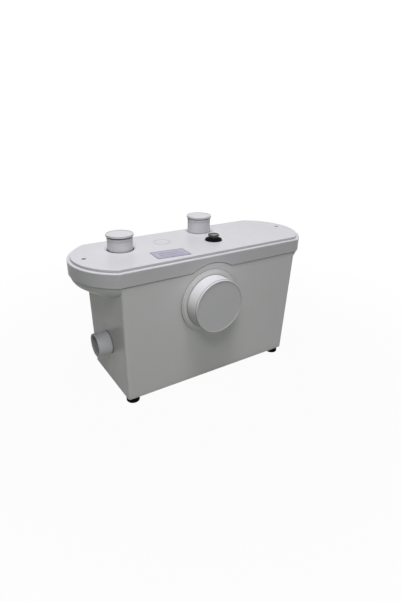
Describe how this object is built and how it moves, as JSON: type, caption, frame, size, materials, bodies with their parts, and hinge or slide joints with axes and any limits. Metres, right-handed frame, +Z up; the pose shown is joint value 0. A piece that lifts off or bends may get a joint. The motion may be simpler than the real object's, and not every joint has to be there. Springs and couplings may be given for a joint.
{
  "type": "macerator toilet pump",
  "caption": "White macerator toilet pump: drafted tank with a bow-ended lid, a plugged toilet inlet, plugged upright inlets, a vent and an end outlet, over a grinder pump.",
  "frame": {"origin": "on the floor, at the middle of the whole part's length and depth", "axes": "+X along the tank away from the outlet, -Y out of the toilet inlet at the front, +Z up"},
  "size_m": [0.5284, 0.2394, 0.3253],
  "materials": {
    "tank_plastic": "moulded, satin",
    "lid_plastic": "moulded, satin",
    "plug_plastic": "moulded, satin",
    "pipe_plastic": "moulded, satin",
    "black_rubber": "moulded, matt",
    "grey_plastic": "moulded, glossy",
    "dark_plastic": "moulded, matt",
    "inner_plastic": "moulded, matt",
    "cream_plastic": "moulded, matt",
    "carbon_filter": "pressed granules",
    "screw_steel": "dulled",
    "bright_steel": "machined",
    "core_steel": "stacked sheets",
    "can_paint": "dark enamel",
    "cast_alloy": "as cast",
    "copper_wire": "enamelled wire"
  },
  "bodies": {
    "housing": {"tank": "tank_plastic", "rubber_feet": "black_rubber", "lid": "lid_plastic", "lid_gasket": "black_rubber", "lid_screws": "screw_steel", "wc_inlet_spigot": "lid_plastic", "wc_inlet_flange": "tank_plastic", "wc_inlet_gasket": "black_rubber", "wc_inlet_nut": "inner_plastic", "left_inlet_tube": "lid_plastic", "right_inlet_tube": "lid_plastic", "right_inlet_seal": "lid_plastic", "inlet_lock_rings": "inner_plastic", "vent_base": "black_rubber", "vent_body": "dark_plastic", "vent_filter": "carbon_filter", "outlet_spigot": "pipe_plastic", "outlet_flange": "inner_plastic", "outlet_gasket": "black_rubber", "valve_body": "inner_plastic", "valve_seat": "inner_plastic", "valve_pin": "bright_steel", "outlet_sleeve": "black_rubber", "hose_clamps": "bright_steel", "pump_casing": "dark_plastic", "pump_cover": "dark_plastic", "grinding_basket": "inner_plastic", "stator_core": "core_steel", "stator_windings": "copper_wire", "motor_can": "can_paint", "motor_front_bracket": "cast_alloy", "motor_end_cover": "cast_alloy", "front_bearing": "bright_steel", "rear_bearing": "bright_steel", "shaft_seal": "black_rubber", "motor_saddles": "black_rubber", "pressure_bell": "inner_plastic", "switch_housing": "inner_plastic", "switch_diaphragm": "black_rubber", "micro_switch": "dark_plastic", "terminal_box": "inner_plastic", "terminal_cover": "inner_plastic", "run_capacitor": "cream_plastic", "terminal_strip": "cream_plastic", "motor_lead": "black_rubber", "supply_gland": "dark_plastic"},
    "rotor": {"motor_shaft": "bright_steel", "rotor_core": "core_steel", "cutter": "bright_steel", "impeller": "inner_plastic", "impeller_nut": "bright_steel"},
    "flap": {"valve_flap": "black_rubber"},
    "wc_plug": {"wc_inlet_plug": "plug_plastic"},
    "left_plug": {"left_inlet_plug": "plug_plastic", "left_plug_seal": "black_rubber"},
    "right_plug": {"right_inlet_plug": "plug_plastic", "right_plug_seal": "black_rubber"},
    "vent_cap_body": {"vent_cap": "grey_plastic"},
    "plunger": {"switch_plunger": "cream_plastic"}
  },
  "joints": [
    {"name": "rotor_spin", "type": "hinge", "parent": "housing", "child": "rotor", "pos_m": [-0.0185, 0.03396, 0.0785], "axis": [1, 0, 0], "continuous": true},
    {"name": "valve_flap_swing", "type": "hinge", "parent": "housing", "child": "flap", "pos_m": [-0.15662, 0.00596, 0.125], "axis": [0, 1, 0], "range_deg": [0, 50]},
    {"name": "wc_plug_pull", "type": "slide", "parent": "housing", "child": "wc_plug", "axis": [0, -1, 0], "range_m": [0, 0.08]},
    {"name": "left_plug_pull", "type": "slide", "parent": "housing", "child": "left_plug", "axis": [0, 0, 1], "range_m": [0, 0.07]},
    {"name": "right_plug_pull", "type": "slide", "parent": "housing", "child": "right_plug", "axis": [0, 0, 1], "range_m": [0, 0.07]},
    {"name": "vent_cap_lift", "type": "slide", "parent": "housing", "child": "vent_cap_body", "axis": [0, 0, 1], "range_m": [0, 0.003]},
    {"name": "switch_plunger_push", "type": "slide", "parent": "housing", "child": "plunger", "axis": [0, 0, 1], "range_m": [0, 0.002], "stiffness_N_per_m": 200}
  ]
}
